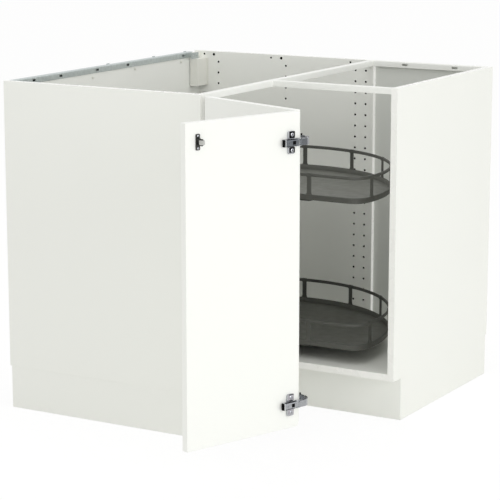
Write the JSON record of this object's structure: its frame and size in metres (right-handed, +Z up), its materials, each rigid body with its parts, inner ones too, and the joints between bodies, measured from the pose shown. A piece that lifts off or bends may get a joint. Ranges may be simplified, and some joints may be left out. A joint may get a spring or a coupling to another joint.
{
  "type": "corner base cabinet",
  "caption": "L-shaped white corner base cabinet with hinged folding doors standing open and a pie-cut carousel of rail-edged trays on a central post.",
  "frame": {"origin": "on the floor, on the carousel axis, under the centre leg", "axes": "+Z up, +X along the wall towards the right end, +Y away from the viewer, into the corner"},
  "size_m": [0.96, 1.3971, 0.8783],
  "materials": {
    "white_board": "white melamine, satin",
    "door_front": "white lacquer foil, satin",
    "white_steel": "white powder coat",
    "zinc_steel": "galvanised",
    "nickel": "nickel plated",
    "dark_steel": "dark bronze",
    "anthracite": "anthracite powder coat",
    "black_plastic": "black",
    "pale_plastic": "pale grey"
  },
  "bodies": {
    "cabinet": {"left_end_panel": "white_board", "rear_side_panel": "white_board", "right_end_panel": "white_board", "bottom_board_main": "white_board", "bottom_board_extension": "white_board", "back_board_left": "white_board", "back_panel_right": "white_board", "back_rail_left": "zinc_steel", "back_rail_right": "white_steel", "front_rail_main": "white_steel", "front_rail_extension": "white_steel", "corner_hanger_cover": "pale_plastic", "corner_hanger_bracket": "zinc_steel", "leg_front_left": "black_plastic", "leg_front_right": "black_plastic", "leg_wall_left": "black_plastic", "leg_centre": "black_plastic", "leg_side_front": "black_plastic", "leg_corner": "black_plastic", "leg_wall_rear": "black_plastic", "leg_back_right": "black_plastic", "plinth_left_end": "white_board", "plinth_front_main": "white_board", "plinth_front_extension": "white_board", "plinth_right_end": "white_board", "upper_cabinet_hinge_plate": "nickel", "lower_cabinet_hinge_plate": "nickel", "upper_cabinet_hinge_arm": "nickel", "lower_cabinet_hinge_arm": "nickel", "catch_keeper": "pale_plastic", "post_flange": "zinc_steel", "carousel_post": "anthracite", "lower_bearing_collar": "zinc_steel", "upper_bearing_collar": "zinc_steel"},
    "hinge_inner_links": {"upper_cabinet_hinge_inner_link": "nickel", "lower_cabinet_hinge_inner_link": "nickel"},
    "door_1": {"door_1": "door_front", "upper_cabinet_hinge_cup": "nickel", "lower_cabinet_hinge_cup": "nickel", "upper_fold_hinge_cup": "nickel", "lower_fold_hinge_cup": "nickel"},
    "hinge_outer_links": {"upper_cabinet_hinge_outer_link": "nickel", "lower_cabinet_hinge_outer_link": "nickel"},
    "door_2": {"door_2": "door_front", "upper_fold_hinge_plate": "nickel", "lower_fold_hinge_plate": "nickel", "upper_fold_hinge_arm": "nickel", "lower_fold_hinge_arm": "nickel", "catch_bracket": "dark_steel"},
    "fold_links": {"upper_fold_hinge_gooseneck": "nickel", "lower_fold_hinge_gooseneck": "nickel"},
    "catch_roller": {"catch_roller": "pale_plastic"},
    "lower_tray": {"lower_tray_floor": "anthracite", "lower_tray_railing": "anthracite", "lower_tray_support": "dark_steel", "lower_tray_hub": "black_plastic"},
    "upper_tray": {"upper_tray_floor": "anthracite", "upper_tray_railing": "anthracite", "upper_tray_support": "dark_steel", "upper_tray_hub": "black_plastic"}
  },
  "joints": [
    {"name": "door_swing", "type": "hinge", "parent": "cabinet", "child": "door_1", "pos_m": [0.135, -0.475, 0.5], "axis": [0, 0, 1], "range_deg": [0, 110]},
    {"name": "hinge_inner_link_turn", "type": "hinge", "parent": "cabinet", "child": "hinge_inner_links", "pos_m": [0.1059, -0.4537, 0.5], "axis": [0, 0, 1], "range_deg": [0, 76]},
    {"name": "hinge_outer_link_turn", "type": "hinge", "parent": "door_1", "child": "hinge_outer_links", "pos_m": [0.15721, -0.47244, 0.5], "axis": [0, 0, 1], "range_deg": [-124.5, 0]},
    {"name": "door_fold", "type": "hinge", "parent": "door_1", "child": "door_2", "pos_m": [0.44616, -0.59517, 0.5], "axis": [0, 0, -1], "range_deg": [0, 60]},
    {"name": "fold_link_turn", "type": "hinge", "parent": "door_2", "child": "fold_links", "pos_m": [0.47081, -0.61138, 0.5], "axis": [0, 0, 1], "range_deg": [0, 27]},
    {"name": "roller_spin", "type": "hinge", "parent": "door_2", "child": "catch_roller", "pos_m": [0.37444, -0.88726, 0.828], "axis": [0, 0, 1], "continuous": true},
    {"name": "lower_tray_spin", "type": "hinge", "parent": "cabinet", "child": "lower_tray", "pos_m": [0, 0, 0.2], "axis": [0, 0, 1], "range_deg": [-180, 360]},
    {"name": "upper_tray_spin", "type": "hinge", "parent": "cabinet", "child": "upper_tray", "pos_m": [0, 0, 0.6], "axis": [0, 0, 1], "range_deg": [-180, 360]}
  ],
  "couplings": [
    {"joint": "hinge_inner_link_turn", "follows": "door_swing", "ratio": 0.688},
    {"joint": "hinge_outer_link_turn", "follows": "door_swing", "ratio": -1.127},
    {"joint": "fold_link_turn", "follows": "door_fold", "ratio": 0.448}
  ]
}
